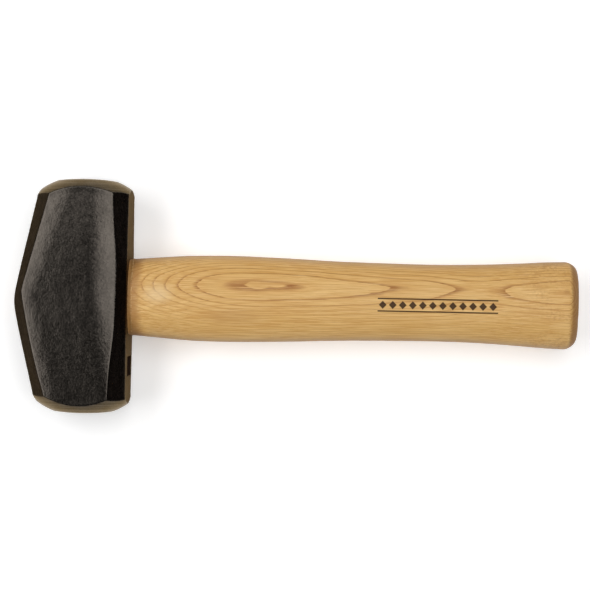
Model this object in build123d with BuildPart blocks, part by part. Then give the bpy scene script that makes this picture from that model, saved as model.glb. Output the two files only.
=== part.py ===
from build123d import *
from math import radians, sqrt, tan
import os

# Club hammer: a forged, double-faced steel head on a short hickory handle, fixed in a tapered eye
# by one wooden wedge and two steel wedges.
#
# Millimetres. The hammer lies on a cheek of its head. +X runs along the handle, from the head to
# the butt, +Y along the head, through both striking faces, and +Z up, through both cheeks. The
# origin is on the surface it lies on, under the point where the axes of the head and handle cross.

# --- Head: outline ------------------------------------------------------------------------------
head_length = 110.5            # crown to crown of the two striking faces, along Y
underside_reach = 21.0         # the head's axis to its underside, along X
end_height = 40.8              # underside to roof at the striking ends
apex_height = 53.0             # underside to the roof's apex, before the apex is rounded
apex_radius = 34.0
apex_y = -3.5                  # the roof is ground by hand, and its apex lies off the eye's centre
head_depth = 43.0              # land to land of the two cheeks, along Z

# --- Head: cheeks, crowned both ways, with a flat land in the middle that the hammer lies on -------
cheek_radius_across = 150.0    # of the crown seen along the head
cheek_radius_along = 850.0     # of the crown seen along the handle
cheek_crown_x = -1.0           # where the crown across is highest
cheek_land_sink = 0.8          # the land cuts this much off the top of the crown

# --- Head: corner chamfers, at 45 degrees, wider at the ends than beside the eye ------------------
roof_chamfer_end = 7.0
roof_chamfer_ridge = 5.2
roof_ridge_y = 2.0             # where the two halves of a roof chamfer meet
underside_chamfer_left = 7.3   # at the +Y striking face
underside_chamfer_right = 8.3  # at the -Y striking face
underside_chamfer_middle = 5.5

# --- Head: turned striking faces and the stamped panel --------------------------------------------
face_radius = 14.5
face_crown_radius = 90.0
forging_spare = 1.5            # the forging is this much longer at each end before it is turned
bevel_angle = 29.0             # degrees from the face's plane
stamp_length = 9.4             # along Y
stamp_width = 17.0             # along Z
stamp_corner = 1.5
stamp_sink = 0.4
stamp_y = -32.7
stamp_z = -2.0                 # from the head's axis

# --- Eye: an oval hole through the head, narrowest at its throat, as length along Y by width ------
eye_mouth = (34.0, 23.0)       # at the underside
eye_throat = (31.5, 20.5)
eye_top = (36.0, 26.0)         # at the roof's apex
throat_depth = 18.0            # from the underside
eye_gap = 0.05                 # between the eye's wall and the wood, all round

# --- Handle: ovals across its axis, as width along Y by thickness along Z -------------------------
handle_reach = 232.5           # from the head's axis to the butt
neck_shoulder = 1.0            # how far the neck stands out round the eye's mouth
tongue_overlap = 1.0           # how far the tongue runs on into the neck
swell = (40.8, 28.6)
taper = (38.6, 27.6)
waist = (36.4, 26.4)
flare = (38.2, 27.8)
butt = (41.4, 29.6)
swell_x = 63.0
taper_x = 112.0
waist_x = 162.0
flare_x = 196.0
oval_power = 2.4               # 2 is an ellipse, and more is squarer
oval_points = 20
butt_bevel_length = 6.0
butt_bevel_depth = 3.2
butt_crown_radius = 150.0

# --- Wedges ---------------------------------------------------------------------------------------
wood_recess = 0.8              # the wood ends this far below the roof
wood_wedge_length = 32.0
wood_wedge_thickness = 4.6     # at the roof's apex
wood_wedge_tip = 1.4
kerf_depth = 40.0              # the saw cut that the wooden wedge opens
kerf_width = 1.4
wedge_gap = 0.03               # round each wedge
steel_wedge_length = 20.0
steel_wedge_width = 17.0
steel_wedge_thickness = 3.2
steel_wedge_tip = 0.9
steel_wedge_spacing = 17.0     # between the two, along Y
steel_wedge_proud = 0.4        # its head stands this far out of the wood
barb_pitch = 4.0
barb_depth = 0.35
barbs = 4                      # on each face of a steel wedge

# --- Places that follow from the sizes above ------------------------------------------------------
axis_z = head_depth / 2
half_length = head_length / 2
forging_half = half_length + forging_spare
underside_x = underside_reach
roof_end_x = underside_x - end_height
apex_x = underside_x - apex_height
wood_top_x = apex_x + wood_recess
neck_x = underside_x
neck = (eye_mouth[0] + 2 * neck_shoulder, eye_mouth[1] + 2 * neck_shoulder)
bevel_x = handle_reach - butt_bevel_length

head_axis = Axis((0, 0, axis_z), (0, 1, 0))
handle_axis = Axis((0, 0, axis_z), (1, 0, 0))
along_head = Plane(origin=(0, 0, axis_z))


def across(x):
    """The plane across the handle's axis at x, with its own x along Y and its own y along Z."""
    return Plane(origin=(x, 0, axis_z), x_dir=(0, 1, 0), z_dir=(1, 0, 0))


def under_roof(far_x, inset=0.0):
    """Side outline from the roof, lowered by inset, to far_x."""
    with BuildSketch(along_head) as outline:
        with BuildLine():
            Polyline(
                (far_x, -forging_half),
                (far_x, forging_half),
                (roof_x(forging_half) + inset, forging_half),
                (apex_x + inset, apex_y),
                (roof_x(-forging_half) + inset, -forging_half),
                close=True,
            )
        make_face()
        fillet(outline.vertices().sort_by(Axis.X)[0], radius=apex_radius)
    return outline.sketch


def roof_x(y):
    """Where the roof's straight slope is at y."""
    run = half_length - apex_y if y > apex_y else half_length + apex_y
    return apex_x + (roof_end_x - apex_x) * abs(y - apex_y) / run


def crown(plane, low, high, peak, radius):
    """Outline of both crowned cheeks from low to high, thickest at peak."""
    top = head_depth / 2 + cheek_land_sink
    low_top = top - radius + sqrt(radius**2 - (low - peak) ** 2)
    high_top = top - radius + sqrt(radius**2 - (high - peak) ** 2)
    with BuildSketch(plane) as outline:
        with BuildLine():
            ThreePointArc((low, low_top), (peak, top), (high, high_top))
            Line((high, high_top), (high, -high_top))
            ThreePointArc((high, -high_top), (peak, -top), (low, -low_top))
            Line((low, -low_top), (low, low_top))
        make_face()
    return outline.sketch


def corners(side):
    """Outline seen along the 45 degree chamfers: a roof corner above, an underside corner below."""
    crown_top = head_depth / 2 + cheek_land_sink
    end_half = crown_top - cheek_radius_along + sqrt(cheek_radius_along**2 - half_length**2)
    roof_end = (end_half - roof_end_x - roof_chamfer_end) / sqrt(2)
    roof_ridge = (head_depth / 2 - apex_x - roof_chamfer_ridge) / sqrt(2)
    roof_left = roof_end - forging_spare * (roof_ridge - roof_end) / (half_length - roof_ridge_y)
    roof_right = roof_end - forging_spare * (roof_ridge - roof_end) / (half_length + roof_ridge_y)
    under_left = (underside_x + end_half - underside_chamfer_left) / sqrt(2)
    under_right = (underside_x + end_half - underside_chamfer_right) / sqrt(2)
    under_middle = (underside_x + head_depth / 2 - underside_chamfer_middle) / sqrt(2)
    plane = Plane(origin=(0, 0, axis_z), x_dir=(0, 1, 0), z_dir=(side, 0, 1))
    with BuildSketch(plane) as outline:
        with BuildLine():
            Polyline(
                (-forging_half, -under_right),
                (-forging_half, roof_right),
                (roof_ridge_y, roof_ridge),
                (forging_half, roof_left),
                (forging_half, -under_left),
            )
            ThreePointArc(
                (forging_half, -under_left), (0, -under_middle), (-forging_half, -under_right)
            )
        make_face()
    return outline.sketch


def turned_profile():
    """Half profile of the head as if turned: a crowned face and its bevel at each end."""
    reach = apex_height
    crown_fall = face_crown_radius - sqrt(face_crown_radius**2 - face_radius**2)
    rim_y = half_length - crown_fall
    edge_y = rim_y - (reach - face_radius) * tan(radians(bevel_angle))
    with BuildSketch(along_head) as outline:
        with BuildLine():
            RadiusArc((0, half_length), (face_radius, rim_y), face_crown_radius)
            Polyline((face_radius, rim_y), (reach, edge_y), (reach, -edge_y), (face_radius, -rim_y))
            RadiusArc((face_radius, -rim_y), (0, -half_length), face_crown_radius)
            Line((0, -half_length), (0, half_length))
        make_face()
    return outline.sketch


def eye_ovals(gap=0.0, start_x=underside_x):
    """Ovals of the eye from start_x to above the roof, each smaller by gap all round."""
    throat_x = underside_x - throat_depth
    stations = [(start_x, eye_mouth), (throat_x, eye_throat), (apex_x, eye_top)]
    if start_x > underside_x:
        stations.insert(1, (underside_x, eye_mouth))
    ovals = []
    for x, (length, width) in stations:
        with BuildSketch(across(x)) as oval:
            Ellipse(length / 2 - gap, width / 2 - gap)
        ovals.append(oval.sketch)
    return ovals


def handle_oval(x, size, inset=0.0):
    """Squarish oval across the handle at x."""
    power = 2 / oval_power
    half_width, half_thickness = size[0] / 2 - inset, size[1] / 2 - inset
    points = []
    for step in range(oval_points):
        turn = Vector(1, 0).rotate(Axis.Z, 360 * step / oval_points)
        y = half_width * abs(turn.X) ** power * (1 if turn.X > 0 else -1)
        z = half_thickness * abs(turn.Y) ** power * (1 if turn.Y > 0 else -1)
        points.append((y, z))
    with BuildSketch(across(x)) as oval:
        with BuildLine():
            Spline(*points, periodic=True)
        make_face()
    return oval.sketch


def wood_wedge_side(gap=0.0):
    """Side of the wooden wedge, thick at the roof and thin at its tip."""
    tip_x = wood_top_x + wood_wedge_length
    with BuildSketch(Plane.XZ.offset(-half_length)) as outline:
        with Locations((0, axis_z)):
            Polygon(
                (apex_x, wood_wedge_thickness / 2 + gap),
                (tip_x + gap, wood_wedge_tip / 2 + gap),
                (tip_x + gap, -wood_wedge_tip / 2 - gap),
                (apex_x, -wood_wedge_thickness / 2 - gap),
                align=None,
            )
    return outline.sketch


def steel_wedge_side(y, gap=0.0, barbed=True):
    """Side of a steel wedge at y, seen along Z, with notches that leave barbs."""
    top_x = roof_x(y) + wood_recess - steel_wedge_proud
    half_top = steel_wedge_thickness / 2 + gap
    half_tip = steel_wedge_tip / 2 + gap
    taper_per_mm = (half_top - half_tip) / steel_wedge_length
    with BuildSketch(along_head) as outline:
        with Locations((top_x, y)):
            Polygon(
                (-gap, half_top),
                (steel_wedge_length + gap, half_tip),
                (steel_wedge_length + gap, -half_tip),
                (-gap, -half_top),
                align=None,
            )
            if barbed:
                for step in range(1, barbs + 1):
                    notch_x = step * barb_pitch
                    face = half_top - notch_x * taper_per_mm
                    for side in (1, -1):
                        Polygon(
                            (notch_x, side * (face + barb_depth)),
                            (notch_x, side * (face - barb_depth)),
                            (notch_x + barb_pitch / 2, side * (face + barb_depth)),
                            align=None,
                            mode=Mode.SUBTRACT,
                        )
    return outline.sketch


# --- Head -----------------------------------------------------------------------------------------
with BuildPart() as head:
    extrude(under_roof(underside_x), amount=head_depth / 2, both=True)
    crown_along = crown(across(apex_x), -forging_half, forging_half, 0, cheek_radius_along)
    extrude(crown_along, amount=apex_height, mode=Mode.INTERSECT)
    from_left = Plane(origin=(0, forging_half, axis_z), x_dir=(1, 0, 0), z_dir=(0, -1, 0))
    crown_across = crown(from_left, apex_x, underside_x, cheek_crown_x, cheek_radius_across)
    extrude(crown_across, amount=2 * forging_half, mode=Mode.INTERSECT)
    for side in (1, -1):
        extrude(corners(side), amount=apex_height, both=True, mode=Mode.INTERSECT)
    revolve(turned_profile(), axis=head_axis, mode=Mode.INTERSECT)
    loft(eye_ovals(), ruled=True, mode=Mode.SUBTRACT)
    with BuildSketch(across(underside_x)) as stamp:
        with Locations((stamp_y, stamp_z)):
            RectangleRounded(stamp_length, stamp_width, stamp_corner)
    extrude(amount=-stamp_sink, mode=Mode.SUBTRACT)

# --- Steel wedges, driven across the eye through the wooden wedge ---------------------------------
steel_wedge_places = {
    "steel_wedge_left": steel_wedge_spacing / 2,
    "steel_wedge_right": -steel_wedge_spacing / 2,
}
steel_wedges = {}
for name, y in steel_wedge_places.items():
    with BuildPart() as steel_wedge:
        extrude(steel_wedge_side(y), amount=steel_wedge_width / 2, both=True)
    steel_wedges[name] = steel_wedge

# --- Wooden wedge, which fills the saw cut from end to end of the eye -----------------------------
with BuildPart() as wood_wedge:
    loft(eye_ovals(eye_gap), ruled=True)
    extrude(wood_wedge_side(), amount=head_length, mode=Mode.INTERSECT)
    extrude(under_roof(underside_x, wood_recess), amount=head_depth, both=True, mode=Mode.INTERSECT)
    for y in steel_wedge_places.values():
        pocket = steel_wedge_side(y, wedge_gap, barbed=False)
        extrude(pocket, amount=steel_wedge_width / 2 + wedge_gap, both=True, mode=Mode.SUBTRACT)

# --- Handle: grip, bevelled butt and a split tongue that fills the eye ----------------------------
with BuildPart() as handle:
    grip_stations = [
        (neck_x, neck),
        (swell_x, swell),
        (taper_x, taper),
        (waist_x, waist),
        (flare_x, flare),
        (bevel_x, butt),
    ]
    loft([handle_oval(x, size) for x, size in grip_stations])
    loft([handle_oval(bevel_x, butt), handle_oval(handle_reach, butt, butt_bevel_depth)], ruled=True)
    with BuildSketch(along_head) as butt_crown:
        with BuildLine():
            reach = butt[0]
            crown_fall = butt_crown_radius - sqrt(butt_crown_radius**2 - reach**2)
            Polyline(
                (handle_reach, 0), (neck_x, 0), (neck_x, reach), (handle_reach - crown_fall, reach)
            )
            RadiusArc((handle_reach - crown_fall, reach), (handle_reach, 0), butt_crown_radius)
        make_face()
    revolve(axis=handle_axis, mode=Mode.INTERSECT)
    loft(eye_ovals(eye_gap, neck_x + tongue_overlap), ruled=True)
    extrude(under_roof(handle_reach, wood_recess), amount=head_depth, both=True, mode=Mode.INTERSECT)
    extrude(wood_wedge_side(wedge_gap), amount=head_length, mode=Mode.SUBTRACT)
    with Locations((apex_x + kerf_depth / 2, 0, axis_z)):
        Box(kerf_depth, head_length, kerf_width, mode=Mode.SUBTRACT)
    for y in steel_wedge_places.values():
        pocket = steel_wedge_side(y, wedge_gap, barbed=False)
        extrude(pocket, amount=steel_wedge_width / 2 + wedge_gap, both=True, mode=Mode.SUBTRACT)

pieces = {"head": head, "handle": handle, "wood_wedge": wood_wedge, **steel_wedges}
os.makedirs("parts", exist_ok=True)
for name, piece in pieces.items():
    piece.part.label = name
    export_step(piece.part, f"parts/{name}.step")
    print(name, "volume", round(piece.part.volume), "mm3")
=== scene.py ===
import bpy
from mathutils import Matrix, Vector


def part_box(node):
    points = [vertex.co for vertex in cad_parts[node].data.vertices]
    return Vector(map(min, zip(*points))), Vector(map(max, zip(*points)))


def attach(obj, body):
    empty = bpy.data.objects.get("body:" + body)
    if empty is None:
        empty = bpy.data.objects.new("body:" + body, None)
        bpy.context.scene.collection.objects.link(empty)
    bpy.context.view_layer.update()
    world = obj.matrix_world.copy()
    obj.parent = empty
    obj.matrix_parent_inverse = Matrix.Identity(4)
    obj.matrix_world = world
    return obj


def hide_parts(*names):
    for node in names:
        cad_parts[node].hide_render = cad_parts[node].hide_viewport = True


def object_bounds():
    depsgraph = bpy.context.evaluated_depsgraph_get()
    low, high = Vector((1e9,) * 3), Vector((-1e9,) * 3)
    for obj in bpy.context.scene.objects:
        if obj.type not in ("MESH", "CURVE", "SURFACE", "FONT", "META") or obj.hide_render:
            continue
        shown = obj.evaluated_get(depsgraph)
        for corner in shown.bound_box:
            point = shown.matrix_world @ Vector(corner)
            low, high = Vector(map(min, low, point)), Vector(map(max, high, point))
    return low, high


bl_info = {
    "name": "Club Hammer",
    "version": (1, 0, 0),
    "blender": (4, 5, 0),
    "location": "View3D > Sidebar > Club Hammer",
    "description": "Builds a club hammer, its finishes and the studio that it lies in",
    "category": "Object",
}

import bmesh
import bpy
import numpy as np
from bpy.props import FloatProperty, FloatVectorProperty, PointerProperty
from mathutils import Vector, noise

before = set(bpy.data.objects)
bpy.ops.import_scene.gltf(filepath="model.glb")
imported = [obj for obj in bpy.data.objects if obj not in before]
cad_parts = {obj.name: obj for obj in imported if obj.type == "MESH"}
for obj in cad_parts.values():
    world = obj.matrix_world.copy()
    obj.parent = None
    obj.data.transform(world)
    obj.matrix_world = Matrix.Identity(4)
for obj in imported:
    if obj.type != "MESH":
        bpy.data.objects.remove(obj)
CAD_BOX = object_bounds()

# +X runs along the handle to its butt, +Y along the head through both striking faces, +Z up.
# Meshes are worked out in millimetres round the handle's axis, and set down in metres.
MM = 0.001
HEAD_LOW, HEAD_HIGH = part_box("head")
HANDLE_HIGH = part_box("handle")[1]
AXIS_HEIGHT = (HEAD_LOW.z + HEAD_HIGH.z) / 2


# --- Settings ---
def length(name, description, default):
    """A size in metres, whose default is given in millimetres."""
    return FloatProperty(name=name, description=description, default=default * MM, unit="LENGTH")


def colour(name, description, default):
    """A colour, as linear red, green and blue."""
    return FloatVectorProperty(
        name=name, description=description, default=default, subtype="COLOR", size=3
    )


class HeadSettings(bpy.types.PropertyGroup):
    """Sizes and finish of the forged head."""

    span: length("Length", "Face to face", (HEAD_HIGH.y - HEAD_LOW.y) / MM)
    depth: length("Depth", "Cheek to cheek", (HEAD_HIGH.z - HEAD_LOW.z) / MM)
    underside: length("Underside", "From the striking axis to the underside", HEAD_HIGH.x / MM)
    apex: length("Apex", "From the striking axis to the roof's apex", 31.2)
    apex_aside: length("Apex aside", "How far the roof's apex lies from the eye's centre", -3.5)
    end_roof: length("Roof at the faces", "From the striking axis to the roof at a striking face", 19.8)
    ridge_aside: length("Ridge aside", "How far a cheek's own peak lies from the eye's centre", 2.0)
    roof_edge: length("Roof edge", "From the axis to a cheek's edge by the roof, at the faces", 13.1)
    ridge_edge: length("Ridge edge", "From the axis to a cheek's edge by the roof, at its peak", 27.0)
    under_edge: length("Underside edge", "From the axis to a cheek's edge by it, at the faces", 13.3)
    under_edge_mid: length("Underside edge, middle", "From the axis to the same edge at the eye", 16.2)
    under_edge_skew: length("Underside edge, skew", "How much further out it is at +Y than at -Y", 1.2)
    end_fall: length("End fall", "How far each cheek falls away at the striking faces", 1.0)
    face_radius: length("Face radius", "Radius of the crowned striking face", 14.3)
    forging_wave: length("Forging wave", "Height of the forged surface's slow waves", 0.22)
    scale_colour: colour("Forge scale", "Black forge finish", (0.0455, 0.0400, 0.0345))
    chamfer_colour: colour("Chamfers", "Browner forge finish on the chamfers", (0.011, 0.0085, 0.0075))
    ground_colour: colour("Ground steel", "Turned steel under amber lacquer", (0.064, 0.054, 0.043))


class HandleSettings(bpy.types.PropertyGroup):
    """Sizes and colours of the hickory handle."""

    butt: length("Butt", "From the striking axis to the butt", HANDLE_HIGH.x / MM)
    butt_bevel: length("Butt bevel", "Length of the butt's bevel", 5.2)
    butt_inset: length("Butt inset", "How far the butt's bevel cuts in", 4.1)
    ring_width: length("Ring width", "Growth ring, bark side to pith side", 1.15)
    pale_colour: colour("Pale wood", "Wood between the growth lines", (0.74, 0.495, 0.198))
    line_colour: colour("Growth line", "Pore line at the start of each ring", (0.29, 0.100, 0.020))
    burnt_colour: colour("Burnt wood", "Burnt ornament", (0.022, 0.005, 0.001))


class WedgeSettings(bpy.types.PropertyGroup):
    """Sizes of the three wedges in the eye."""

    recess: length("Recess", "How far the wood ends below the roof", 0.8)
    wood_thickness: length("Wooden wedge", "Thickness at the roof", 4.6)
    wood_tip: length("Wooden wedge tip", "Thickness at the tip", 1.4)
    wood_reach: length("Wooden wedge length", "From the roof to the tip", 32.0)
    steel_thickness: length("Steel wedge", "Thickness at the top", 3.2)
    steel_width: length("Steel wedge width", "Across the wooden wedge", 17.0)
    steel_reach: length("Steel wedge length", "From the top to the tip", 20.0)
    spacing: length("Spacing", "Between the two steel wedges", 17.0)


class StudioSettings(bpy.types.PropertyGroup):
    """Camera and lights."""

    distance: length("Distance", "From the camera to the handle's axis", 760.0)
    aside: length("Aside", "From the hammer's middle to the camera, along the handle", -1.7)
    above: length("Above", "From the handle's axis to the camera, along the head", 2.5)
    turn: FloatProperty(
        name="Turn", description="The camera's turn round its view", default=0.0204, subtype="ANGLE"
    )
    focal_length: FloatProperty(
        name="Focal length", description="Camera lens, in millimetres", default=98.0
    )
    key_power: FloatProperty(
        name="Key power", description="Power of an overhead softbox", default=4.4, subtype="POWER"
    )
    floor_colour: colour("Floor", "Plain pale floor", (0.95, 0.95, 0.95))


# --- Shader maths ---
class Field:
    """A socket's value over a surface. Python's operators on it add the nodes that do the sum."""

    def __init__(self, tree, socket):
        self.tree = tree
        self.socket = socket

    def add_node(self, kind, settings=None, inputs=None, output=0):
        """Adds a node, sets it up, then fills or links its inputs, and gives one of its outputs."""
        node = self.tree.nodes.new(kind)
        for name, value in (settings or {}).items():
            setattr(node, name, value)
        for key, value in (inputs or {}).items():
            if isinstance(value, Field):
                self.tree.links.new(value.socket, node.inputs[key])
            else:
                node.inputs[key].default_value = value
        return Field(self.tree, node.outputs[output])

    def maths(self, operation, first, second=0.0):
        """Math node, or Vector Math where this value is a vector."""
        kind = "ShaderNodeVectorMath" if self.socket.type == "VECTOR" else "ShaderNodeMath"
        return self.add_node(kind, {"operation": operation}, {0: first, 1: second})

    def __add__(self, other):
        return self.maths("ADD", self, other)

    def __radd__(self, other):
        return self.maths("ADD", other, self)

    def __sub__(self, other):
        return self.maths("SUBTRACT", self, other)

    def __rsub__(self, other):
        return self.maths("SUBTRACT", other, self)

    def __mul__(self, other):
        return self.maths("MULTIPLY", self, other)

    def __rmul__(self, other):
        return self.maths("MULTIPLY", other, self)

    def __truediv__(self, other):
        return self.maths("DIVIDE", self, other)

    def __mod__(self, other):
        return self.maths("FLOORED_MODULO", self, other)

    def __lt__(self, other):
        return self.maths("LESS_THAN", self, other)

    def __gt__(self, other):
        return self.maths("GREATER_THAN", self, other)

    def __abs__(self):
        return self.maths("ABSOLUTE", self)

    def root(self):
        return self.maths("SQRT", self)

    def floor(self):
        return self.maths("FLOOR", self)

    def most(self, other):
        return self.maths("MAXIMUM", self, other)

    def step(self, low, high):
        """Smooth step, from 0 at low to 1 at high."""
        inputs = {"Value": self, "From Min": low, "From Max": high}
        return self.add_node("ShaderNodeMapRange", {"interpolation_type": "SMOOTHSTEP"}, inputs)

    def parts(self):
        """The three parts of a vector."""
        return [self.add_node("ShaderNodeSeparateXYZ", inputs={0: self}, output=i) for i in range(3)]

    def noise(self, size, detail=2.0, roughness=0.5, seed=0.0):
        """Noise from 0 to 1, with blobs of size, in the vector's unit, along X, Y and Z."""
        place = self.maths("DIVIDE", self, size) + (seed, seed * 1.7, -seed)
        inputs = {"Vector": place, "Scale": 1.0, "Detail": detail, "Roughness": roughness}
        return self.add_node("ShaderNodeTexNoise", inputs=inputs)

    def blend(self, first, second):
        """Colour first where this value is 0, and second where it is 1."""
        inputs = {0: self, 6: opaque(first), 7: opaque(second)}
        return self.add_node("ShaderNodeMix", {"data_type": "RGBA"}, inputs, 2)

    def bump(self, height):
        """Normal for a relief of this value times height."""
        return self.add_node("ShaderNodeBump", inputs={"Height": self, "Distance": height})


def opaque(value):
    """A colour with full alpha, unless it is a field."""
    return value if isinstance(value, Field) else (*value, 1.0)


def tinted(base, *factors):
    """A colour with all its parts times one factor, or each times its own."""
    return [part * factor for part, factor in zip(base, factors * (3 // len(factors)))]


class Finish:
    """A new material with one Principled shader, and the fields that its patterns start from."""

    def __init__(self, name, **constants):
        self.material = bpy.data.materials.new(name)
        self.material.use_nodes = True
        self.tree = self.material.node_tree
        self.shader = self.tree.nodes["Principled BSDF"]
        for socket, value in constants.items():
            self.shader.inputs[socket.replace("_", " ")].default_value = value
        start = Field(self.tree, None)
        place = start.add_node("ShaderNodeTexCoord", output=3)
        self.place = place.maths("SUBTRACT", place, (0.0, 0.0, AXIS_HEIGHT)) / (MM, MM, MM)

    def measure(self, name):
        """A number stored on the mesh's points."""
        field = Field(self.tree, None)
        return field.add_node("ShaderNodeAttribute", {"attribute_name": name}, output=2)

    def paint(self, **fields):
        """Links fields to the shader's sockets."""
        for socket, field in fields.items():
            self.tree.links.new(field.socket, self.shader.inputs[socket.replace("_", " ")])
        return self.material


# --- Finishes ---
FORGED_RELIEF = 0.05 * MM
WOOD_RELIEF = 0.045 * MM
BARE_EDGE = (0.13, 0.105, 0.08)  # steel showing through worn forge scale


def forged_finish(settings):
    """Black forge scale, browner on the chamfers, a painted brown reflection on the underside, and turned
    steel under amber lacquer.
    """
    finish = Finish("forged_steel", Metallic=1.0, Specular_Tint=(0.85, 0.73, 0.57, 1.0))
    place = finish.place
    x, y, z = place.parts()
    turned = finish.measure("turned").step(0.05, 0.25)
    chamfer = finish.measure("chamfer").step(-0.1, 0.2)
    edge = 1.0 - finish.measure("edge").step(0.05, 0.5)
    underside = finish.measure("underside").step(0.1, 0.5) * (1.0 - turned)

    slow = place.noise((14.0, 22.0, 14.0), 3.0)
    mottle = place.noise((2.2, 2.8, 2.2), 4.0, 0.62, 4.0)
    peel = place.noise((0.9, 1.05, 0.9), 3.0, 0.65)
    drawn = place.noise((1.6, 26.0, 1.6), 2.0, 0.5, 3.0)
    specks = place.noise((0.9, 0.9, 0.9), 1.0, 0.5, 7.0).step(0.79, 0.82)
    pits = place.noise((1.3, 1.3, 1.3), 1.0, 0.5, 11.0).step(0.81, 0.84)
    worn = edge * place.noise((2.0, 5.0, 2.0), 3.0, 0.6, 5.0).step(0.35, 0.65)

    dark = settings.scale_colour
    scale = (0.25 * slow + 0.25 * mottle + 0.5 * peel).step(0.34, 0.66)
    scale = scale.blend(tinted(dark, 0.68), tinted(dark, 1.3))
    scale = (specks * 0.5).blend(scale, (0.16, 0.135, 0.11))
    scale = (pits * 0.8).blend(scale, (0.006, 0.005, 0.004))
    scale = (worn * 0.14).blend(scale, BARE_EDGE)
    brown = mottle.step(0.3, 0.7).blend(settings.chamfer_colour, tinted(settings.chamfer_colour, 1.7))
    brown = (worn * 0.09).blend(brown, BARE_EDGE)

    radius = (x * x + z * z).root()
    which_end = y.step(-0.1, 0.1) * 40.0
    lines = place.add_node("ShaderNodeCombineXYZ", inputs={0: radius * 1.1, 1: abs(y) * 1.1, 2: which_end})
    grinding = lines.noise((1.0, 1.0, 1.0), 3.0, 0.7)
    stains = place.noise((7.0, 7.0, 7.0), 3.0, 0.6, 13.0)
    steel = settings.ground_colour
    ground = grinding.step(0.3, 0.7).blend(tinted(steel, 0.35), tinted(steel, 1.8))
    ground = (stains.step(0.42, 0.75) * 0.55).blend(ground, tinted(steel, 0.62, 0.50, 0.36))

    # Painted reflection: the underside is coloured brown for the wood and background that it reflects at a
    # grazing view.
    sole_painted_reflection = (0.5 * stains.step(0.3, 0.7) + 0.5 * drawn).blend((0.060, 0.036, 0.015), (0.115, 0.074, 0.034))
    base = chamfer.blend(scale, brown)
    base = underside.blend(base, sole_painted_reflection)
    base = turned.blend(base, ground)

    roughness = 0.215 + 0.18 * (peel - 0.5) + 0.06 * (mottle - 0.5) + 0.05 * (drawn - 0.5)
    roughness = roughness + 0.06 * chamfer + 0.12 * grinding * turned + 0.45 * underside
    relief = (1.0 - turned) * (peel * 1.5 + mottle * 0.7 + drawn * 0.2 - pits * 1.5 + specks * 0.4)
    relief = relief + turned * grinding * 0.8
    return finish.paint(Base_Color=base, Roughness=roughness, Normal=relief.bump(FORGED_RELIEF))


def stamp_shadow_finish():
    """Painted shadow on the dull floor of the sunk stamped panel."""
    finish = Finish("stamp_painted_shadow", IOR=1.05, Roughness=1.0)
    shadow_mottle = finish.place.noise((0.9, 0.9, 0.9), 3.0, 0.6, 41.0)
    # Painted shadow: very dark, mottled colour in the sunk panel.
    tone = shadow_mottle.step(0.3, 0.7).blend((0.006, 0.002, 0.0008), (0.020, 0.008, 0.003))
    return finish.paint(Base_Color=tone, Normal=shadow_mottle.bump(0.08 * MM))


def growth_rings(place, ring_width):
    """Growth rings as a count from the pith, which lies outside the handle, above it and a little aside."""
    x, y, z = place.parts()
    pith_y, pith_z = 11.0, 43.5
    sweep = (86.0 - x).most(0.0) / 65.0  # the grain dips towards the head from here
    turn_out = 0.5 * x.step(105.0, 165.0) + 1.4 * x.step(156.0, 188.0)  # and towards the butt
    wobble = place.noise((75.0, 18.0, 18.0), 2.0, 0.5, 2.0) - 0.5
    ripple = place.noise((34.0, 4.0, 4.0), 2.0, 0.5, 4.0) - 0.5
    across = ((y - pith_y) * (y - pith_y) + (z - pith_z) * (z - pith_z)).root()
    return across / ring_width + 5.0 * sweep * sweep + turn_out + 1.0 * wobble + 0.40 * ripple + 0.75


def burnt_ornament(x, y, z):
    """Mask of a row of small lozenges between two fine rules, burnt into the upper side of the grip."""
    start, stop, middle, pitch = 137.5, 193.5, -1.2, 4.666
    inside = (x > start) * (x < stop) * (z > 0.0)
    height = abs(y - middle)
    lozenge = 1.0 - (abs((x - start) % pitch - pitch / 2) / 1.9 + height / 2.0).step(0.85, 1.05)
    rule = 1.0 - abs(height - 2.9).step(0.2, 0.42)
    return inside * lozenge.most(rule)


def soft_patch(x, y, middle, reach):
    """Mask of a soft-edged oval."""
    along = (x - middle[0]) / reach[0]
    across = (y - middle[1]) / reach[1]
    return 1.0 - (along * along + across * across).root().step(0.1, 1.1)


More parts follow.
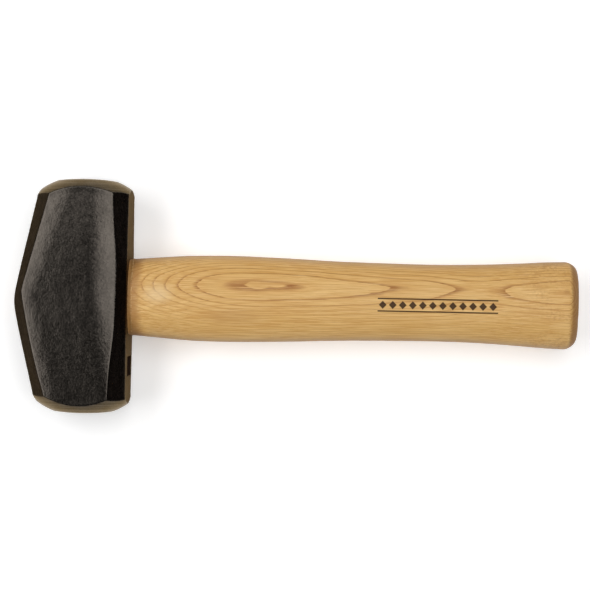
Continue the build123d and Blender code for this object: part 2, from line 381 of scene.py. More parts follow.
def hickory_finish(settings):
    """Hickory: growth rings cut by the turned shape, fibre, pores, a neck darker next to the head and a
    dark butt.
    """
    finish = Finish("hickory", IOR=1.34)
    place = finish.place
    x, y, z = place.parts()
    rings = growth_rings(place, settings.ring_width / MM)
    ring = rings % 1.0
    which = place.add_node("ShaderNodeCombineXYZ", inputs={0: rings.floor() * 7.31, 1: 0.5, 2: 0.5})
    vigour = which.noise((1.0, 1.0, 1.0), 0.0)

    line = (1.0 - ring.step(0.02, 0.28)) * ring.step(0.0, 0.02)
    late = ring.step(0.45, 1.0)
    fibre = place.noise((22.0, 0.42, 0.42), 3.0, 0.6, 1.0)
    cloud = place.noise((36.0, 11.0, 11.0), 3.0, 0.55, 6.0)
    pores = place.noise((3.2, 0.22, 0.22), 2.0, 0.6, 8.0).step(0.60, 0.72)

    pale = settings.pale_colour
    deep = settings.line_colour
    wood = cloud.step(0.25, 0.75).blend(tinted(pale, 0.92, 0.86, 0.74), tinted(pale, 1.06))
    clear = 0.35 + 0.65 * y.step(-10.0, 4.0)
    glow = 1.0 - ring.step(0.0, 0.7)
    wood = (0.55 * glow * clear).blend(wood, tinted(pale, 0.84, 0.66, 0.42))
    wood = ((0.7 + 0.3 * vigour.step(0.3, 0.7)) * line * clear).blend(wood, deep)
    wood = (0.30 * late).blend(wood, tinted(pale, 0.86, 0.70, 0.50))
    wood = (0.9 * fibre.step(0.36, 0.66)).blend(wood, tinted(pale, 0.76, 0.60, 0.42))
    threads = place.noise((60.0, 0.28, 0.28), 2.0, 0.6, 17.0)
    wood = (0.55 * (1.0 - threads.step(0.30, 0.46))).blend(wood, tinted(pale, 1.14, 1.20, 1.45))
    wood = (pores * (0.12 + 0.30 * line)).blend(wood, tinted(deep, 0.6))

    # Painted shade: darker brown along both sides of the grip, where its surface turns away from the light.
    side = 1.0 - abs(z).step(1.0, 9.5)
    wood = (0.75 * side * (x > 20.0)).blend(wood, (0.33, 0.17, 0.058))

    mark = burnt_ornament(x, y, z)
    butt_cloud = place.noise((24.0, 14.0, 14.0), 2.0, 0.5, 9.0)
    butt_grain = (x - 198.0).step(0.0, 30.0) * butt_cloud.step(0.38, 0.62)
    curl = place.noise((1.5, 1.1, 1.1), 3.0, 0.6, 10.0)
    wood = (0.55 * butt_grain * curl.step(0.42, 0.68)).blend(wood, tinted(deep, 0.92))

    smudge = soft_patch(x, y, (71.0, -8.0), (19.0, 5.0))
    wood = (0.42 * smudge * (z > 0.0) * (0.5 + fibre)).blend(wood, (0.47, 0.25, 0.085))

    # Painted highlight: a pale patch on the top of the neck.
    painted_sheen = soft_patch(x, y, (35.0, 2.0), (9.0, 6.0))
    wood = (0.5 * painted_sheen * (z > 0.0) * (0.5 + cloud)).blend(wood, (0.80, 0.60, 0.34))

    fringe = place.noise((3.0, 1.6, 1.6), 3.0, 0.7, 12.0)
    # Darker brown band on the neck, next to the head.
    neck = 1.0 - (x + 5.0 * (fringe - 0.5) - 0.12 * abs(y)).step(23.0, 27.5)
    wood = (0.72 * neck).blend(wood, (0.34, 0.155, 0.045))
    burr = finish.measure("burr").step(0.2, 0.9) * fringe.step(0.42, 0.62)
    wood = (0.45 * burr).blend(wood, (0.74, 0.50, 0.22))

    end_grain = (x + 1.8 * (fringe - 0.5)).step(226.8, 228.8).most((x < 0.0) * 1.0)
    dots = place.noise((0.5, 0.35, 0.35), 2.0, 0.6, 14.0)
    end_wood = (0.6 * line + 0.4 * dots.step(0.45, 0.7)).blend((0.36, 0.175, 0.052), (0.17, 0.070, 0.020))
    end_wood = (0.5 * cloud.step(0.3, 0.7)).blend(end_wood, (0.30, 0.150, 0.055))
    wood = (0.86 * end_grain).blend(wood, end_wood)
    wood = (0.93 * mark).blend(wood, settings.burnt_colour)

    roughness = 0.47 + 0.12 * (fibre - 0.5) + 0.10 * (cloud - 0.5) + 0.10 * end_grain + 0.2 * mark
    relief = fibre * 0.5 - pores * 0.6 - line * 0.4 + 0.8 * butt_grain * curl - mark * 2.5
    return finish.paint(Base_Color=wood, Roughness=roughness, Normal=relief.bump(WOOD_RELIEF))


def wedge_wood_finish():
    """Darker sawn hardwood, seen mostly on its end grain."""
    finish = Finish("wedge_wood", IOR=1.45)
    grain = finish.place.noise((6.0, 0.7, 0.3), 3.0, 0.6, 21.0)
    pores = finish.place.noise((0.5, 0.4, 0.25), 2.0, 0.6, 22.0).step(0.55, 0.7)
    wood = grain.step(0.3, 0.7).blend((0.25, 0.125, 0.05), (0.42, 0.24, 0.105))
    wood = (0.5 * pores).blend(wood, (0.10, 0.045, 0.018))
    return finish.paint(Base_Color=wood, Roughness=0.62 + 0.2 * (grain - 0.5), Normal=grain.bump(0.06 * MM))


def wedge_steel_finish():
    """Rolled steel, hammered bright in spots and stained brown between them."""
    finish = Finish("wedge_steel", IOR=1.5)
    dents = finish.place.noise((1.0, 1.0, 1.2), 2.0, 0.5, 31.0)
    rust = finish.place.noise((2.2, 2.2, 2.2), 4.0, 0.65, 32.0).step(0.48, 0.68)
    steel = dents.step(0.3, 0.7).blend((0.17, 0.16, 0.15), (0.27, 0.26, 0.25))
    steel = (0.7 * rust).blend(steel, (0.16, 0.085, 0.045))
    return finish.paint(
        Base_Color=steel,
        Metallic=0.95 - 0.6 * rust,
        Roughness=0.34 + 0.25 * rust + 0.12 * (dents - 0.5),
        Normal=dents.bump(0.05 * MM),
    )


def floor_finish(settings):
    """Matt paper, very faintly mottled."""
    finish = Finish("paper", Roughness=0.9, Emission_Color=(1.0, 1.0, 1.0, 1.0), Emission_Strength=0.3)
    mottle = finish.place.noise((90.0, 90.0, 90.0), 3.0)
    tone = mottle.step(0.2, 0.8).blend(tinted(settings.floor_colour, 0.985), settings.floor_colour)
    return finish.paint(Base_Color=tone)


# --- Mesh tools ---
def closed_mesh(name, points, faces):
    """A new mesh of points in millimetres, with its faces turned outward."""
    mesh = bpy.data.meshes.new(name)
    mesh.from_pydata(to_metres(points).tolist(), [], faces)
    work = bmesh.new()
    work.from_mesh(mesh)
    bmesh.ops.recalc_face_normals(work, faces=work.faces)
    work.to_mesh(mesh)
    work.free()
    return mesh


def skin(rings, ends):
    """Closed mesh through rings of points, with a fan to a point at each end."""
    count, around = rings.shape[:2]
    here = np.arange(around)
    ahead = (here + 1) % around
    rows = np.arange(count - 1)[:, None] * around
    quads = np.stack([rows + here, rows + ahead, rows + around + ahead, rows + around + here], axis=-1)
    first = [(count * around, b, a) for a, b in zip(here, ahead)]
    last_row = (count - 1) * around
    last = [(count * around + 1, last_row + a, last_row + b) for a, b in zip(here, ahead)]
    points = np.vstack([rings.reshape(-1, 3), ends])
    return closed_mesh("skin", points, quads.reshape(-1, 4).tolist() + first + last)


def prism(outline, low, high, along):
    """Closed mesh of a flat outline, from low to high along Y or Z. The outline is X with the other one."""
    points = []
    for level in (low, high):
        for first, second in outline:
            points.append((first, level, second) if along == "Y" else (first, second, level))
    count = len(outline)
    sides = [(i, (i + 1) % count, count + (i + 1) % count, count + i) for i in range(count)]
    caps = [tuple(range(count)), tuple(range(count, 2 * count))]
    return closed_mesh("prism", np.array(points), sides + caps)


def to_metres(points):
    """Millimetres round the handle's axis to metres in the frame."""
    return points * MM + np.array([0.0, 0.0, AXIS_HEIGHT])


def from_metres(points):
    """Metres in the frame to millimetres round the handle's axis."""
    return (points - np.array([0.0, 0.0, AXIS_HEIGHT])) / MM


def to_millimetres(mesh):
    """A mesh's points, in millimetres round the handle's axis."""
    flat = np.empty(len(mesh.vertices) * 3)
    mesh.vertices.foreach_get("co", flat)
    return from_metres(flat.reshape(-1, 3))


def put_points(mesh, points):
    """Moves a mesh's points."""
    mesh.vertices.foreach_set("co", to_metres(points).ravel())
    mesh.update()


def point_normals(mesh):
    """A mesh's normals at its points."""
    flat = np.empty(len(mesh.vertices) * 3)
    mesh.vertex_normals.foreach_get("vector", flat)
    return flat.reshape(-1, 3)


def waves(points, size, seed):
    """Smooth noise from -1 to 1 at each point, with waves of size in X, Y and Z."""
    shift = Vector((seed * 5.3, seed * 2.1, -seed * 3.7))
    scaled = points / np.array(size)
    return np.array([noise.noise(Vector(p) + shift) for p in scaled])


def store(mesh, name, values):
    """Stores a number on each of a mesh's points."""
    attribute = mesh.attributes.new(name, "FLOAT", "POINT")
    attribute.data.foreach_set("value", np.asarray(values, dtype=np.float32))


def place_object(name, mesh):
    """Links a mesh to the scene as a new object."""
    piece = bpy.data.objects.new(name, mesh)
    bpy.context.scene.collection.objects.link(piece)
    return piece


def carve(piece, mesh, operation):
    """Cuts a piece with a closed mesh, or keeps what the two share."""
    tool = place_object("tool", mesh)
    modifier = piece.modifiers.new("carve", "BOOLEAN")
    modifier.operation = operation
    modifier.object = tool
    modifier.solver = "EXACT"
    evaluated = piece.evaluated_get(bpy.context.evaluated_depsgraph_get())
    result = bpy.data.meshes.new_from_object(evaluated)
    piece.modifiers.clear()
    piece.data = result
    bpy.data.objects.remove(tool)
    if not result.polygons:
        raise RuntimeError(f"{piece.name}: nothing was left after the cut")


def smooth_shade(mesh, angle):
    """Smooth shading, with edges sharper than angle left crisp."""
    mesh.shade_smooth()
    mesh.set_sharp_from_angle(angle=angle)


def hand_over(piece, finish, slot, *nodes):
    """Gives a finished piece its material and its body, and hides the CAD nodes that it stands for."""
    piece.data.materials.clear()
    piece.data.materials.append(finish)
    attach(piece, "root")
    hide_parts(*nodes)


# --- Head ---
FACE_CROWN = 93.0  # radius of the striking faces' crown, in millimetres
BEVEL_SLOPE = 0.38  # of the turned bevel where it leaves the face
BEVEL_CURVE = 0.023  # how fast that slope grows
CREASE = 0.35  # width of the softened crease round each turned end, in millimetres


class HeadShape:
    """The head's surfaces, in millimetres round the point where its axis crosses the handle's."""

    def __init__(self, settings):
        self.half = settings.span / MM / 2
        self.half_depth = settings.depth / MM / 2
        self.underside = settings.underside / MM
        self.apex = settings.apex / MM
        self.apex_y = settings.apex_aside / MM
        self.end_roof = settings.end_roof / MM
        self.ridge_y = settings.ridge_aside / MM
        self.roof_edge = settings.roof_edge / MM
        self.ridge_edge = settings.ridge_edge / MM
        self.under_edge = settings.under_edge / MM
        self.under_edge_mid = settings.under_edge_mid / MM
        self.under_skew = settings.under_edge_skew / MM
        self.end_fall = settings.end_fall / MM
        self.face_radius = settings.face_radius / MM

    def peak(self, y, peak_y, height, ends, softness):
        """A soft-topped V over y, height at its peak and ends at both striking faces."""
        rise = height - ends + softness
        up = rise / (self.half - peak_y)
        down = rise / (self.half + peak_y)
        u = y - peak_y
        fall = (up - down) / 2 * u + (up + down) / 2 * np.sqrt(u**2 + (2 * softness / (up + down)) ** 2)
        return height + softness - fall

    def roof(self, y):
        """Roof's X at y."""
        return -self.peak(y, self.apex_y, self.apex, self.end_roof, 0.8)

    def roof_corner(self, y):
        """The roof's chamfers are where |z| - x is this."""
        edge = self.peak(y, self.ridge_y, self.ridge_edge, self.roof_edge, 0.25)
        # The chamfer on the -Y side bows inward a little.
        bulge = 1.1 * np.sin(np.pi * np.clip((self.ridge_y - y) / 57.0, 0, 1))
        return edge + bulge + self.cheek(-edge, y)

    def under_corner(self, y):
        """The underside's chamfers are where |z| + x is this."""
        near_eye = 1 / (1 + (y / 30.0) ** 4)
        edge = self.under_edge + (self.under_edge_mid - self.under_edge) * near_eye
        edge = edge + self.under_skew / 2 * np.tanh(y / 30.0)
        return edge + self.cheek(edge, y)

    def cheek(self, x, y):
        """Half depth at x and y: flat in the middle and falling towards every edge."""
        # The flat is narrower towards each striking face.
        left = np.clip(y / 50.0, 0, 1)
        right = np.clip(-y / 50.0, 0, 1)
        to_roof = np.maximum(0.0, -20.5 + 17.0 * left + 11.0 * right - x)
        to_underside = np.maximum(0.0, x - 3.0 - 8.0 * right)
        across = 0.0095 * to_underside**2 + 0.0095 * to_roof**2 / (1 + 0.05 * to_roof)
        return self.half_depth - self.end_fall * np.abs(y / self.half) ** 2.6 - across

    def drop(self, radius):
        """How far the turned face and bevel lie behind the face's crown, at a radius."""
        crown = np.minimum(radius, self.face_radius) ** 2 / (2 * FACE_CROWN)
        past = np.maximum(0.0, radius - self.face_radius)
        return crown + BEVEL_SLOPE * past + BEVEL_CURVE * past**2

    def depths(self, points):
        """How far points lie inside each surface: five forged ones, then the turned one."""
        x, y, z = points.T
        z = np.abs(z)
        radius = np.hypot(x, z)
        return np.stack([
            self.underside - x,
            self.cheek(x, y) - z,
            x - self.roof(y),
            (self.under_corner(y) - z - x) / np.sqrt(2),
            (self.roof_corner(y) - z + x) / np.sqrt(2),
            (self.half - self.drop(radius) - np.abs(y)) * 0.75,
        ])

    def corners(self, y):
        """X and |z| of the section's six corners, from the underside's middle to the roof's, at each y."""
        under = self.under_corner(y)
        roof_corner = self.roof_corner(y)
        roof = self.roof(y)
        flat = np.zeros_like(y)
        under_x = flat + self.under_edge
        roof_x = flat - self.roof_edge
        for _ in range(12):
            under_x = under - self.cheek(under_x, y)
            roof_x = self.cheek(roof_x, y) - roof_corner
        return np.array([
            (flat + self.underside, flat),
            (flat + self.underside, under - self.underside),
            (under_x, self.cheek(under_x, y)),
            (roof_x, self.cheek(roof_x, y)),
            (roof, roof_corner + roof),
            (roof, flat),
        ]).transpose(0, 2, 1)


SIDE_STEPS = (14, 8, 58, 7, 20)  # columns along each side of half a section of the head
ARC_STEPS = 4  # columns round each of its corners
CORNER_RADII = np.array([0.0, 1.3, 0.55, 0.55, 0.8, 0.0])  # of those corners, in millimetres


def head_columns():
    """The columns of the head's mesh: side of the section, place along it and sign of z."""
    half = []
    for side, steps in enumerate(SIDE_STEPS):
        half += [(side, step / steps) for step in range(steps)]
        if side < len(SIDE_STEPS) - 1:
            half += [(side, 1 + step / ARC_STEPS) for step in range(ARC_STEPS)]
    upper = [(side, t, 1) for side, t in half + [(len(SIDE_STEPS) - 1, 1.0)]]
    lower = [(side, t, -1) for side, t in half[:0:-1]]
    return np.array(upper + lower)


def head_ring(shape, columns, y):
    """A ring of the head's mesh, with a y for each column. Past 1, a column's place is on a corner."""
    side = columns[:, 0].astype(int)
    place = columns[:, 1]
    pick = np.arange(len(y))
    corners = shape.corners(y)
    runs = np.diff(corners, axis=0)
    runs /= np.linalg.norm(runs, axis=2, keepdims=True)
    reach = CORNER_RADII * np.tan(np.radians(22.5))
    corner = corners[side + 1, pick]
    start = corners[side, pick] + runs[side, pick] * reach[side, None]
    stop = corner - runs[side, pick] * reach[side + 1, None]
    turn = corner + runs[np.minimum(side + 1, 4), pick] * reach[side + 1, None]
    along = np.clip(place, 0, 1)[:, None]
    around = np.clip(place - 1, 0, 1)[:, None]
    straight = start + (stop - start) * along
    arc = (stop + (corner - stop) * around) * (1 - around) + (corner + (turn - corner) * around) * around
    point = np.where(place[:, None] <= 1, straight, arc)
    on_cheek = (side == 2) & (place <= 1)
    height = np.where(on_cheek, shape.cheek(point[:, 0], y), point[:, 1])
    return np.stack([point[:, 0], y, height * columns[:, 2]], axis=-1)


def crease(shape, columns, end):
    """Where each column meets the turned bevel at one end."""
    y = np.full(len(columns), end * (shape.half - 6.0))
    for _ in range(14):
        ring = head_ring(shape, columns, y)
        y = end * (shape.half - shape.drop(np.hypot(ring[:, 0], ring[:, 2])))
    return y


def turned_rings(shape, edge_ring, end):
    """Rings of a turned bevel and face, from its edge to the middle."""
    radius = np.hypot(edge_ring[:, 0], edge_ring[:, 2])
    outward = edge_ring[:, [0, 2]] / radius[:, None]
    rim = shape.face_radius
    bevel = [radius - CREASE + (rim + CREASE - radius) * t for t in np.linspace(0, 1, 24)]
    face = [np.full(len(radius), rim * (1 - t)) for t in np.linspace(0, 0.95, 20)[1:]]
    rings = []
    for ring_radius in bevel + face:
        y = end * (shape.half - shape.drop(ring_radius))
        rings.append(np.stack([outward[:, 0] * ring_radius, y, outward[:, 1] * ring_radius], axis=-1))
    return rings


def head_body(settings):
    """The head without its eye: forged sides, turned ends and softened creases between them."""
    shape = HeadShape(settings)
    columns = head_columns()
    low = crease(shape, columns, -1)
    high = crease(shape, columns, 1)
    lip = CREASE / (2 * shape.half)
    places = np.concatenate([[0.0], np.linspace(lip, 1 - lip, 170), [1.0]])
    body = [head_ring(shape, columns, low + (high - low) * place) for place in places]
    left = turned_rings(shape, body[-1], 1)
    right = turned_rings(shape, body[0], -1)
    body[0] = body[0] / 2 + (body[1] + right[0]) / 4
    body[-1] = body[-1] / 2 + (body[-2] + left[0]) / 4
    rings = np.array(right[::-1] + body + left)
    mesh = skin(rings, np.array([[0.0, -shape.half, 0.0], [0.0, shape.half, 0.0]]))
    points = to_millimetres(mesh)
    depths = shape.depths(points)
    forged = np.clip((depths[5] - 0.1) / 1.5, 0, 1)
    wave = 0.55 * waves(points, (9.0, 15.0, 9.0), 1) + 0.32 * waves(points, (3.2, 4.5, 3.2), 2)
    sink = (np.clip(wave, -1, 1) + 1) / 2 * settings.forging_wave / MM
    put_points(mesh, points - point_normals(mesh) * (sink * forged)[:, None])
    return shape, mesh


# --- Eye ---
STAMP_MIDDLE = (21.6, -32.7, -2.0)  # a blank panel, sunk into the underside
STAMP_SIZE = (2.0, 9.4, 17.0)
STAMP_CORNER = 1.2
EYE_OVALS = ((21.0, 34.0, 23.0), (3.0, 31.5, 20.5), (-33.0, 36.0, 26.0))  # X, then length and width
EYE_COLUMNS = 144


def eye_size(x):
    """Half length and half width of the eye at x, straight between its ovals."""
    places, lengths, widths = np.array(EYE_OVALS)[::-1].T
    return np.interp(x, places, lengths) / 2, np.interp(x, places, widths) / 2


def eye_ring(x, grow=0.0, scale=1.0):
    """Oval of the eye's wall at each column's x, larger by grow all round."""
    angle = np.linspace(0, 2 * np.pi, EYE_COLUMNS, endpoint=False)
    half_length, half_width = eye_size(x)
    y = (half_length + grow) * scale * np.cos(angle)
    z = (half_width + grow) * scale * np.sin(angle)
    return np.stack([np.broadcast_to(x, y.shape), y, z], axis=-1)


def roof_ring(shape, sink, grow=0.0, scale=1.0):
    """Oval of the eye that follows the roof, sunk into it."""
    ring = eye_ring(-shape.apex, grow, scale)
    ring[:, 0] = shape.roof(ring[:, 1]) + sink
    return ring


def eye_cutter(shape):
    """The eye's hole, with a broken edge at both mouths."""
    rings = [
        roof_ring(shape, -3.0, 3.9),
        roof_ring(shape, 0.9),
        roof_ring(shape, 6.0, -0.35),
        eye_ring(3.0),
        eye_ring(shape.underside - 0.8),
        eye_ring(shape.underside + 1.0, 1.4),
    ]
    ends = np.array([[rings[0][:, 0].mean(), 0.0, 0.0], [shape.underside + 1.0, 0.0, 0.0]])
    return skin(np.array(rings), ends)


def rounded_box(low, high, radius, steps=6):
    """Closed mesh of a box along X, between two corners, with rounded edges along X."""
    middle_y, middle_z = (low[1] + high[1]) / 2, (low[2] + high[2]) / 2
    reach_y, reach_z = (high[1] - low[1]) / 2 - radius, (high[2] - low[2]) / 2 - radius
    ring = []
    for quarter, (sign_y, sign_z) in enumerate(((1, 1), (-1, 1), (-1, -1), (1, -1))):
        for step in range(steps + 1):
            angle = (quarter + step / steps) * np.pi / 2
            y = middle_y + sign_y * reach_y + radius * np.cos(angle)
            z = middle_z + sign_z * reach_z + radius * np.sin(angle)
            ring.append((y, z))
    ring = np.array(ring)
    rings = [np.column_stack([np.full(len(ring), x), ring]) for x in (low[0], high[0])]
    ends = np.array([[low[0], middle_y, middle_z], [high[0], middle_y, middle_z]])
    return skin(np.array(rings), ends)


class MakeHead(bpy.types.Operator):
    """Forge, turn, pierce and stamp the head"""

    bl_idname = "club_hammer.head"
    bl_label = "Head"

    def execute(self, context):
        settings = context.scene.hammer_head
        shape, mesh = head_body(settings)
        head = place_object("hammer_head", mesh)
        carve(head, eye_cutter(shape), "DIFFERENCE")
        low = np.array(STAMP_MIDDLE) - np.array(STAMP_SIZE) / 2
        high = np.array(STAMP_MIDDLE) + np.array(STAMP_SIZE) / 2
        carve(head, rounded_box(low, high, STAMP_CORNER), "DIFFERENCE")
        depths = shape.depths(to_millimetres(head.data))
        ordered = np.sort(depths, axis=0)
        store(head.data, "turned", depths[:5].min(axis=0) - depths[5])
        store(head.data, "underside", depths[1:].min(axis=0) - depths[0])
        store(head.data, "chamfer", depths[[0, 1, 2, 5]].min(axis=0) - depths[3:5].min(axis=0))
        store(head.data, "edge", ordered[1])
        smooth_shade(head.data, 0.62)
        hand_over(head, forged_finish(settings), "forged_steel", "head")
        # The sunk panel's faces take the painted shadow as a second material.
        head.data.materials.append(stamp_shadow_finish())
        low -= 0.01
        high += 0.01
        high[0] = shape.underside - 0.15
        for face in head.data.polygons:
            centre = from_metres(np.array(face.center))
            if (centre > low).all() and (centre < high).all():
                face.material_index = 1
        return {"FINISHED"}


# --- Handle ---
HANDLE_OVALS = (
    (21.0, 35.8, 25.0),
    (34.0, 37.8, 26.6),
    (48.0, 39.9, 28.0),
    (66.0, 40.8, 28.7),
    (90.0, 39.8, 28.3),
    (120.0, 37.6, 27.2),
    (146.0, 36.6, 26.5),
    (168.0, 36.35, 26.4),
    (186.0, 37.2, 27.0),
    (204.0, 39.1, 28.3),
    (220.0, 41.0, 29.3),
    (232.5, 41.6, 29.8),
)  # X, then width and thickness of the grip
HANDLE_COLUMNS = 208
OVAL_POWER = 2.4
TONGUE_GAP = 0.05
BURR = 1.75  # from the head to the ragged edge that it leaves on the neck, in millimetres


def curve_through(x, knots, values):
    """Smooth curve through knots, with no overshoot between them."""
    slopes = np.gradient(values, knots)
    i = np.clip(np.searchsorted(knots, x) - 1, 0, len(knots) - 2)
    step = knots[i + 1] - knots[i]
    t = (x - knots[i]) / step
    ease = t * t * (3 - 2 * t)
    start_pull = slopes[i] * step * (t - 2 * t**2 + t**3)
    stop_pull = slopes[i + 1] * step * (t**3 - t**2)
    return values[i] * (1 - ease) + values[i + 1] * ease + start_pull + stop_pull


def grip_ring(x, inset=0.0, swell=0.0):
    """Squarish oval of the grip at x, with its columns at even angles."""
    knots, widths, thicknesses = np.array(HANDLE_OVALS).T
    half_width = curve_through(np.array([x]), knots, widths)[0] / 2 - inset + swell
    half_thickness = curve_through(np.array([x]), knots, thicknesses)[0] / 2 - inset + swell
    angle = np.linspace(0, 2 * np.pi, HANDLE_COLUMNS, endpoint=False)
    reach_y = np.abs(np.cos(angle) / half_width) ** OVAL_POWER
    reach_z = np.abs(np.sin(angle) / half_thickness) ** OVAL_POWER
    radius = (reach_y + reach_z) ** (-1 / OVAL_POWER)
    return np.stack([np.full_like(angle, x), radius * np.cos(angle), radius * np.sin(angle)], axis=-1)


def tongue_rings(shape, recess):
    """Rings of the tongue, from the middle of its top, which follows the roof, to the underside."""
    angle = np.linspace(0, 2 * np.pi, HANDLE_COLUMNS, endpoint=False)

    def ring(x, scale=1.0, inset=0.0):
        half_length, half_width = eye_size(x)
        y = (half_length - TONGUE_GAP - inset) * scale * np.cos(angle)
        z = (half_width - TONGUE_GAP - inset) * scale * np.sin(angle)
        return np.stack([np.broadcast_to(x, y.shape), y, z], axis=-1)

    def top(scale, inset, sink):
        flat = ring(-shape.apex, scale, inset)
        flat[:, 0] = shape.roof(flat[:, 1]) + recess + sink
        return flat

    cap = [top(scale, 0.3, 0.0) for scale in np.linspace(0.04, 1.0, 18)]
    neck = shape.underside
    wall = [ring(x) for x in np.linspace(shape.roof(18.0) + recess + 2.0, neck - 0.05, 18)]
    return cap + [top(1.0, 0.0, 0.3)] + wall


def grip_rings(settings, neck):
    """Rings of the grip, from the head's underside to the middle of the butt."""
    butt = settings.butt / MM
    bevel = settings.butt_bevel / MM
    inset = settings.butt_inset / MM
    dome = 1.1
    bevel_start = butt - dome - bevel
    rings = []
    for x in np.arange(neck - 0.02, neck + 4.0, 0.2):
        along = x - neck
        swell = -0.10 * np.exp(-((along - 0.75) / 0.6) ** 2) + 0.05 * np.exp(-((along - BURR) / 0.35) ** 2)
        rings.append(grip_ring(x, 0.0, swell))
    rings += [grip_ring(x) for x in np.linspace(neck + 4.2, bevel_start, 262)]
    for turn in np.linspace(0.04, 1, 18) * np.pi / 2:
        along, inward = np.sin(turn) ** 1.25, 1 - np.cos(turn) ** 1.25
        rings.append(grip_ring(bevel_start + bevel * along, inset * inward))
    rim = rings[-1]
    for t in np.linspace(0, 0.96, 20)[1:]:
        ring = rim * (1, 1 - t, 1 - t)
        ring[:, 0] = rim[0, 0] + (butt - rim[0, 0]) * (1 - (1 - t) ** 2)
        rings.append(ring)
    return rings


def wedge_outline(settings, shape, grow):
    """X and Z of the wooden wedge's side, with the saw cut beyond its tip where grow isn't 0."""
    top = -shape.apex + settings.recess / MM
    tip = top + settings.wood_reach / MM
    start = top - 4.0
    thick = (settings.wood_thickness / MM / 2 + grow) * 1.08
    thin = settings.wood_tip / MM / 2 + grow
    if not grow:
        return [(start, thick), (tip, thin), (tip, -thin), (start, -thick)]
    saw, saw_end = 0.7, tip + 8.0
    return [
        (start, thick), (tip, thin), (tip, saw), (saw_end, saw),
        (saw_end, -saw), (tip, -saw), (tip, -thin), (start, -thick),
    ]


def steel_wedge_outline(settings, top, y, grow):
    """X and Y of a steel wedge's side."""
    tip = top + settings.steel_reach / MM + grow
    thick = settings.steel_thickness / MM / 2 + grow
    thin = 0.45 + grow
    start = top - 3.0 * (grow > 0)
    return [(start, y + thick), (tip, y + thin), (tip, y - thin), (start, y - thick)]


def steel_wedge_places(settings, shape):
    """Top X and middle Y of each steel wedge."""
    reach = settings.spacing / MM / 2
    return {
        "steel_wedge_left": (shape.roof(reach) + settings.recess / MM - 0.4, reach),
        "steel_wedge_right": (shape.roof(-reach) + settings.recess / MM - 0.4, -reach),
    }


def cut_pockets(piece, context, shape):
    """Cuts the steel wedges' pockets in a piece."""
    wedges = context.scene.hammer_wedges
    half = wedges.steel_width / MM / 2 + 0.05
    for top, y in steel_wedge_places(wedges, shape).values():
        carve(piece, prism(steel_wedge_outline(wedges, top, y, 0.04), -half, half, "Z"), "DIFFERENCE")


class MakeHandle(bpy.types.Operator):
    """Turn the handle, split its tongue and burn its ornament"""

    bl_idname = "club_hammer.handle"
    bl_label = "Handle"

    def execute(self, context):
        settings = context.scene.hammer_handle
        wedges = context.scene.hammer_wedges
        shape = HeadShape(context.scene.hammer_head)
        tongue = tongue_rings(shape, wedges.recess / MM)
        rings = tongue + grip_rings(settings, shape.underside)
        ends = np.array([[-shape.apex + wedges.recess / MM, 0.0, 0.0], [settings.butt / MM, 0.0, 0.0]])
        mesh = skin(np.array(rings), ends)
        points = to_millimetres(mesh)
        on_grip = np.clip((points[:, 0] - shape.underside - 1.0) / 8.0, 0, 1)
        wave = 0.10 * waves(points, (26.0, 12.0, 12.0), 5) + 0.035 * waves(points, (4.5, 3.0, 3.0), 6)
        near_butt = np.clip((points[:, 0] - 195.0) / 25.0, 0, 1)
        wave += 0.05 * near_butt * waves(points, (1.9, 5.0, 5.0), 7)
        along = points[:, 0] - shape.underside
        ragged = np.exp(-((along - BURR) / 0.45) ** 2) * waves(points, (0.5, 0.9, 0.9), 8)
        put_points(mesh, points + point_normals(mesh) * (wave * on_grip + 0.30 * ragged)[:, None])
        handle = place_object("hickory_handle", mesh)
        carve(handle, prism(wedge_outline(wedges, shape, 0.05), -25.0, 25.0, "Y"), "DIFFERENCE")
        cut_pockets(handle, context, shape)
        points = to_millimetres(handle.data)
        along = points[:, 0] - shape.underside
        store(handle.data, "burr", np.exp(-((along - BURR) / 0.32) ** 2))
        smooth_shade(handle.data, 0.62)
        hand_over(handle, hickory_finish(settings), "hickory", "handle")
        return {"FINISHED"}


# --- Wedges ---
class MakeWedges(bpy.types.Operator):
    """Fit the wooden wedge and drive the two steel wedges"""

    bl_idname = "club_hammer.wedges"
    bl_label = "Wedges"

    def execute(self, context):
        settings = context.scene.hammer_wedges
        shape = HeadShape(context.scene.hammer_head)
        rings = tongue_rings(shape, settings.recess / MM)
        ends = np.array([[-shape.apex + settings.recess / MM, 0.0, 0.0], [shape.underside, 0.0, 0.0]])
        wood = place_object("wooden_wedge", skin(np.array(rings), ends))
        carve(wood, prism(wedge_outline(settings, shape, 0.0), -25.0, 25.0, "Y"), "INTERSECT")
        cut_pockets(wood, context, shape)
        smooth_shade(wood.data, 0.62)
        hand_over(wood, wedge_wood_finish(), "wedge_wood", "wood_wedge")
        steel = wedge_steel_finish()
        for name, (top, y) in steel_wedge_places(settings, shape).items():
            wedge = self.steel_wedge(settings, name, top, y)
            hand_over(wedge, steel, "wedge_steel", name)
        return {"FINISHED"}

    def steel_wedge(self, settings, name, top, y):
        """A steel wedge with a hammered, rolled-over head."""
        half = settings.steel_width / MM / 2
        mesh = prism(steel_wedge_outline(settings, top, y, 0.0), -half, half, "Z")
        work = bmesh.new()
        work.from_mesh(mesh)
        bmesh.ops.bevel(work, geom=work.edges[:], offset=0.3 * MM, segments=3, affect="EDGES")
        bmesh.ops.triangulate(work, faces=[f for f in work.faces if len(f.verts) > 4])
        bmesh.ops.subdivide_edges(work, edges=work.edges[:], cuts=3, use_grid_fill=True)
        work.to_mesh(mesh)
        work.free()
        points = to_millimetres(mesh)
        near_top = np.clip(1 - (points[:, 0] - top) / 1.2, 0, 1)
        dents = waves(points, (1.4, 1.4, 1.8), 9)
        points[:, 0] += near_top * (0.12 + 0.07 * dents)
        points[:, 1] = y + (points[:, 1] - y) * (1 + 0.07 * near_top * (1 + dents))
        put_points(mesh, points)
        wedge = place_object(name + "_steel", mesh)
        smooth_shade(mesh, 0.7)
        return wedge


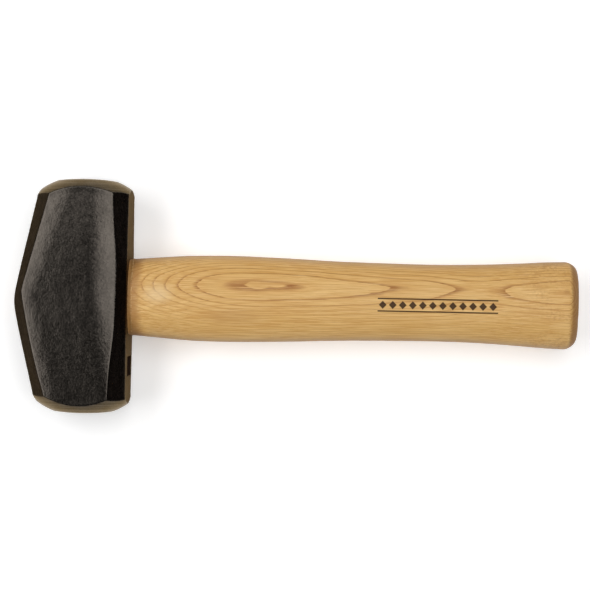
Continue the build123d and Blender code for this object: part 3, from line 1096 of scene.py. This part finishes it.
# --- Studio ---
SOFTBOXES = (
    ("left_softbox", (-0.57, 0.10, 0.85), (0.95, 0.46), 1.28),
    ("right_softbox", (0.20, 0.10, 0.87), (0.95, 0.44), 1.03),
    ("top_softbox", (0.0, 0.95, 0.55), (1.2, 0.5), 0.14),
    ("foot_softbox", (0.0, -0.95, 0.5), (1.2, 0.4), 0.12),
)  # name, place from the hammer's middle, size, and power as a part of the key power


class MakeStudio(bpy.types.Operator):
    """Lay the floor, hang the softboxes and aim the camera"""

    bl_idname = "club_hammer.studio"
    bl_label = "Studio"

    def execute(self, context):
        settings = context.scene.hammer_studio
        self.lay_floor(settings)
        middle = Vector(((HEAD_LOW.x + HANDLE_HIGH.x) / 2, 0.0, AXIS_HEIGHT))
        key = settings.key_power
        for name, place, size, power in SOFTBOXES:
            self.hang_softbox(name, middle + Vector(place), size, key * power, middle)
        self.aim_camera(context, settings, middle)
        self.light_world(context)
        context.scene.view_settings.view_transform = "Standard"
        return {"FINISHED"}

    def lay_floor(self, settings):
        """A wide disc that the hammer lies on."""
        mesh = bpy.data.meshes.new("floor")
        work = bmesh.new()
        bmesh.ops.create_circle(work, cap_ends=True, radius=6.0, segments=96)
        work.to_mesh(mesh)
        work.free()
        mesh.materials.append(floor_finish(settings))
        floor = place_object("floor", mesh)
        floor.location.z = CAD_BOX[0][2] - 0.0002

    def hang_softbox(self, name, place, size, power, target):
        """A rectangular area light, turned to face the hammer."""
        light = bpy.data.lights.new(name, "AREA")
        light.shape = "RECTANGLE"
        light.size, light.size_y = size
        light.energy = power
        lamp = bpy.data.objects.new(name, light)
        lamp.location = place
        lamp.rotation_euler = (target - place).to_track_quat("-Z", "Y").to_euler()
        bpy.context.scene.collection.objects.link(lamp)

    def aim_camera(self, context, settings, middle):
        """A camera straight above the hammer."""
        lens = bpy.data.cameras.new("camera")
        lens.lens = settings.focal_length
        lens.clip_start = 0.01
        camera = bpy.data.objects.new("camera", lens)
        camera.location = middle + Vector((settings.aside, settings.above, settings.distance))
        camera.rotation_euler = (0.0, 0.0, settings.turn)
        context.scene.collection.objects.link(camera)
        context.scene.camera = camera

    def light_world(self, context):
        """An even grey room."""
        world = bpy.data.worlds.new("room")
        world.use_nodes = True
        background = world.node_tree.nodes["Background"]
        background.inputs["Color"].default_value = (0.9, 0.9, 0.9, 1.0)
        background.inputs["Strength"].default_value = 0.10
        context.scene.world = world


class HammerPanel(bpy.types.Panel):
    """Lists the hammer's settings and the operators that build it."""

    bl_idname = "VIEW3D_PT_club_hammer"
    bl_label = "Club Hammer"
    bl_space_type = "VIEW_3D"
    bl_region_type = "UI"
    bl_category = "Club Hammer"

    def draw(self, context):
        for group, operator in zip(SETTINGS, OPERATORS):
            box = self.layout.box()
            settings = getattr(context.scene, group)
            for name in settings.bl_rna.properties.keys()[1:]:
                box.prop(settings, name)
            box.operator(operator.bl_idname)


SETTINGS = {
    "hammer_head": HeadSettings,
    "hammer_handle": HandleSettings,
    "hammer_wedges": WedgeSettings,
    "hammer_studio": StudioSettings,
}
OPERATORS = (MakeHead, MakeHandle, MakeWedges, MakeStudio)


def register():
    for kind in (*SETTINGS.values(), *OPERATORS, HammerPanel):
        bpy.utils.register_class(kind)
    for name, kind in SETTINGS.items():
        setattr(bpy.types.Scene, name, PointerProperty(type=kind))


def unregister():
    for name in SETTINGS:
        delattr(bpy.types.Scene, name)
    for kind in reversed((*SETTINGS.values(), *OPERATORS, HammerPanel)):
        bpy.utils.unregister_class(kind)


def main():
    register()
    bpy.ops.club_hammer.head()
    bpy.ops.club_hammer.handle()
    bpy.ops.club_hammer.wedges()
    bpy.ops.club_hammer.studio()


if __name__ == "__main__":
    main()
